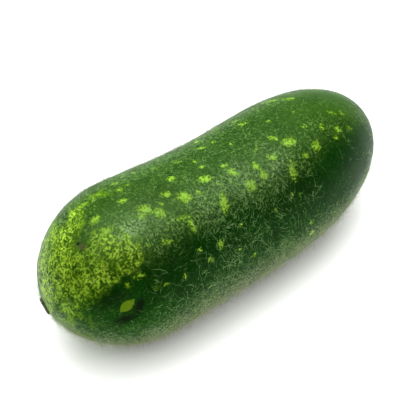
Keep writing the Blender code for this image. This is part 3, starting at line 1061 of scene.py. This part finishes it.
def finished_piece(shape, matrix, name, looks, node):
    """Makes a piece of a bmesh, placed by matrix, and hides the solid's node that it takes the place of."""
    bmesh.ops.recalc_face_normals(shape, faces=shape.faces)
    mesh = mesh_of(shape, name)
    mesh.transform(matrix)
    for look in looks:
        mesh.materials.append(look)
    mesh.polygons.foreach_set("use_smooth", [True] * len(mesh.polygons))
    piece = placed_object(mesh, name)
    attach(piece, "root")
    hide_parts(node)
    return piece


def scar_material(matrix):
    browns, crumb, pit, rim = ((25, 22, 14), (73, 63, 42)), (104, 92, 68), (15, 13, 9), (78, 78, 54)
    paint = Paint("dried_scar")
    fibres, radius, _ = paint.fibres(matrix, 6.0, 2.2 * MM)
    crumbs = paint.noise(0.4 * MM, 3.0, 0.65)
    paint.base = paint.blend(paint.ramp(fibres, 0.34, 0.66), *browns)
    paint.coat(paint.ramp(crumbs, 0.52, 0.72, 0.0, 0.6), crumb)
    paint.coat(paint.ramp(radius, 0.2 * SCAR_RADIUS, 0.05 * SCAR_RADIUS, 0.0, 0.8), pit)
    paint.coat(paint.ramp(radius, 0.90 * SCAR_RADIUS, 1.02 * SCAR_RADIUS, 0.0, 0.45), rim)
    paint.bump(paint.plus(fibres, paint.times(crumbs, 0.7)), 0.25 * MM)
    return paint.finish(paint.ramp(crumbs, 0.3, 0.7, 0.78, 0.95), ("Specular IOR Level", 0.25))


def make_scar():
    """The dried scar that the flower left."""
    draw = np.random.default_rng(SCAR_SEED)
    matrix = end_matrix(BLOSSOM_END, BLOSSOM_WAY)
    phases = draw.uniform(0, 2 * math.pi, 4)
    crinkles = draw.uniform(-1.0, 1.0, SCAR_SEGMENTS)
    shape = bmesh.new()
    rings = []
    for share, height in SCAR_PROFILE[1:-1]:
        wobble = []
        for angle, crinkle in zip(steps_round(SCAR_SEGMENTS), crinkles):
            bulge = sum(
                size * math.cos(count * angle + phase) for (count, size), phase in zip(SCAR_WAVES, phases)
            )
            bulge += SCAR_RAGGED * crinkle * (share > SCAR_RIM)
            lift = SCAR_FOLD_HEIGHT * math.sin(SCAR_FOLDS * angle + phases[2])
            lift += SCAR_CRINKLE_HEIGHT * crinkle + SCAR_TILT * math.cos(angle + phases[3])
            # The middle and the underside stay flatter.
            lift *= min(1.0, 2 * share) * (height > 0)
            wobble.append((share * (1.0 + bulge * share - SCAR_INSET), lift))
        rings.append(ring_of(shape, SCAR_RADIUS, height * MM, wobble))
    for low, high in zip(rings, rings[1:]):
        join_rings(shape, low, high)
    close_ring(shape, rings[0], (0.0, 0.0, SCAR_PROFILE[0][1] * MM))
    close_ring(shape, rings[-1], (0.0, 0.0, SCAR_PROFILE[-1][1] * MM), flip=True)
    return finished_piece(shape, matrix, "flower_scar", (scar_material(matrix),), "blossom_scar")


def stem_side_material(matrix):
    greens, patch, dried = ((84, 118, 48), (150, 172, 96)), (172, 180, 120), (140, 124, 82)
    paint = Paint("stem_side")
    fibres, _, out = paint.fibres(matrix, 9.0, 9 * MM)
    patches = paint.noise(1.6 * MM)
    paint.base = paint.blend(paint.ramp(fibres, 0.34, 0.66), *greens)
    paint.coat(paint.ramp(patches, 0.55, 0.75, 0.0, 0.5), patch)
    paint.coat(paint.ramp(out, 4.1 * MM, 4.8 * MM, 0.0, 0.65), dried)
    paint.bump(fibres, 0.35 * MM)
    return paint.finish(paint.ramp(patches, 0.3, 0.7, 0.55, 0.75))


def stem_cut_material(matrix):
    """The cut end: a ring of bundles, pale pith and a dried edge."""
    pale, pore, bundle = ((164, 166, 108), (206, 202, 152)), (104, 96, 52), (92, 112, 46)
    middle, edge = (112, 98, 60), (120, 104, 62)
    paint = Paint("stem_cut")
    fibres, radius, _ = paint.fibres(matrix, 5.0, 3 * MM)
    cells = (("Scale", 1.0 / (0.55 * MM)), ("Vector", paint.place))
    pores = paint.node("ShaderNodeTexVoronoi", cells).outputs["Distance"]
    paint.base = paint.blend(paint.ramp(fibres, 0.34, 0.66), *pale)
    paint.coat(paint.ramp(pores, 0.16, 0.34, 0.65, 0.0), pore)
    from_ring = paint.maths("ABSOLUTE", paint.maths("SUBTRACT", radius, 2.7 * MM))
    paint.coat(paint.ramp(from_ring, 0.15 * MM, 0.75 * MM, 0.6, 0.0), bundle)
    paint.coat(paint.ramp(radius, 1.1 * MM, 0.3 * MM, 0.0, 0.5), middle)
    paint.coat(paint.ramp(radius, 3.4 * MM, 4.1 * MM, 0.0, 0.6), edge)
    paint.bump(paint.plus(fibres, pores), 0.22 * MM)
    return paint.finish(paint.ramp(fibres, 0.3, 0.7, 0.68, 0.85))


def make_stem():
    """The stub of the five-angled stem, and its cut end."""
    draw = np.random.default_rng(STEM_SEED)
    matrix = end_matrix(STEM_END, STEM_WAY)
    fibres = draw.uniform(-1.0, 1.0, STEM_SEGMENTS)
    slant = draw.uniform(0, 2 * math.pi)
    shape = bmesh.new()
    rings = []

    def add_ring(height, radius, share, tilt, lifts):
        wobble = []
        for angle, fibre, lift in zip(steps_round(STEM_SEGMENTS), fibres, lifts):
            ridge = (STEM_RIDGE * math.cos(STEM_ANGLES * angle) + STEM_FIBRE * fibre) * share
            wobble.append((share * (1.0 + ridge), STEM_SLANT * math.cos(angle + slant) * tilt + lift))
        rings.append(ring_of(shape, radius * MM, height * MM, wobble))

    for height, radius in STEM_STATIONS:
        add_ring(height, radius, 1.0, height > STEM_SLANT_FROM, np.zeros(STEM_SEGMENTS))
    sides = len(rings)
    for share in STEM_CUT_RINGS:
        rough = STEM_CUT_ROUGH * draw.uniform(-1, 1, STEM_SEGMENTS)
        add_ring(height, radius, share, share, rough - STEM_CUT_DISH * (1.0 - share**2))
    for number, (low, high) in enumerate(zip(rings, rings[1:])):
        join_rings(shape, low, high, 0 if number < sides - 1 else 1)
    close_ring(shape, rings[-1], (0.0, 0.0, height * MM - STEM_CUT_DISH), 1)
    close_ring(shape, rings[0], (0.0, 0.0, STEM_STATIONS[0][0] * MM), 0, flip=True)
    looks = (stem_side_material(matrix), stem_cut_material(matrix))
    return finished_piece(shape, matrix, "stem_end", looks, "stem_stub")


make_camera()
lit = {name: bpy.data.collections.new(f"lit_with_the_{name}") for name in ("table", "fruit", "hairs")}
lit["table"].objects.link(make_table())
skin = make_skin()
for piece in (skin.piece, make_scar(), make_stem()):
    lit["fruit"].objects.link(piece)
for piece in make_hairs(skin):
    lit["fruit"].objects.link(piece)
    lit["hairs"].objects.link(piece)
make_light(lit)
